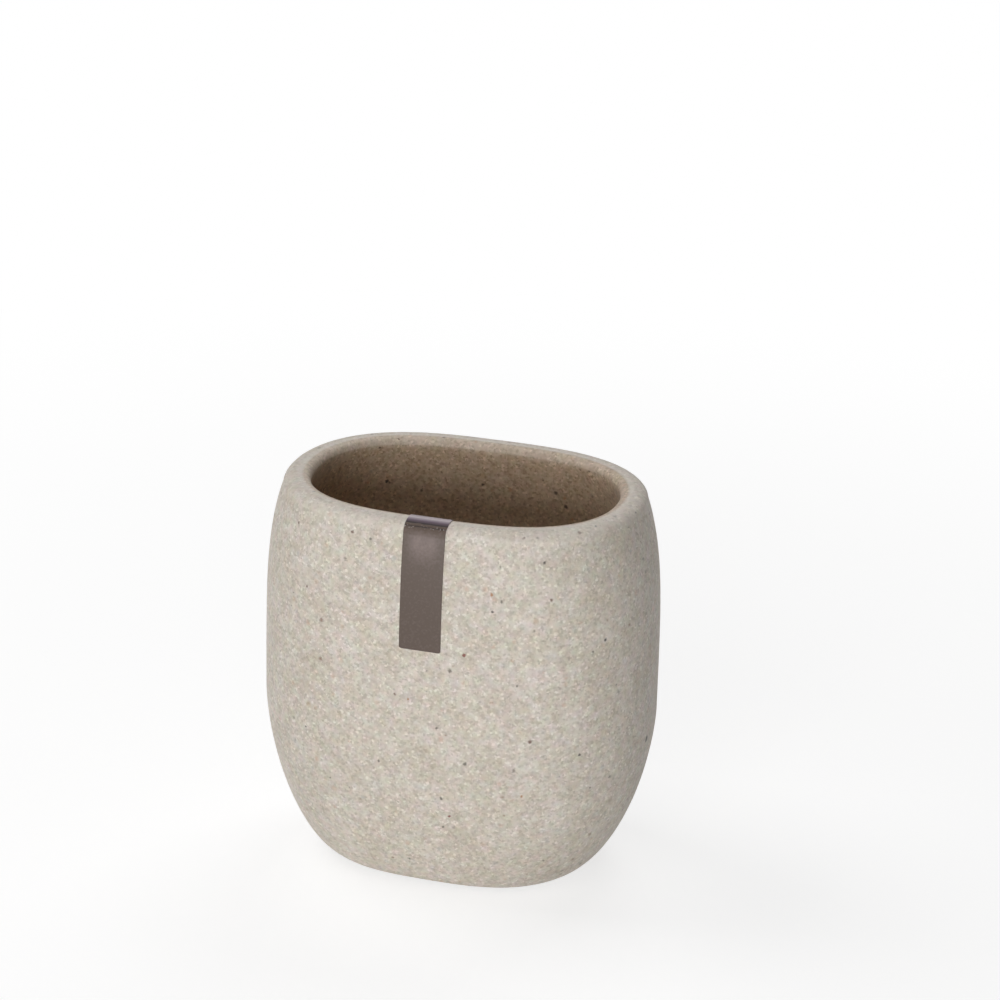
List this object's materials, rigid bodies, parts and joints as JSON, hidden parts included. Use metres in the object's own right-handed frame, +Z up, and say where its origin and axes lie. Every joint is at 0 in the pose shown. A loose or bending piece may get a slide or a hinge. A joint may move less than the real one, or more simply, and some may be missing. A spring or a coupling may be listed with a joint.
{
  "type": "bathroom tumbler",
  "caption": "Oval tumbler cast in sand-look polyresin, with a rounded belly and rim, a film strip folded over the front rim, and anti-slip pads under the flat base.",
  "frame": {"origin": "on the surface the tumbler stands on, under the middle of the base", "axes": "+Z up, X along the long axis of the oval, -Y is the front, where the film strip is"},
  "size_m": [0.0996, 0.0695, 0.1006],
  "materials": {
    "sand_polyresin": "matt, fine sand grain",
    "taupe_film": "satin",
    "clear_silicone": "satin, milky"
  },
  "bodies": {
    "root": {"tumbler_body": "sand_polyresin", "label_strip": "taupe_film", "base_pad_front_left": "clear_silicone", "base_pad_front_right": "clear_silicone", "base_pad_back_left": "clear_silicone", "base_pad_back_right": "clear_silicone"}
  },
  "joints": []
}
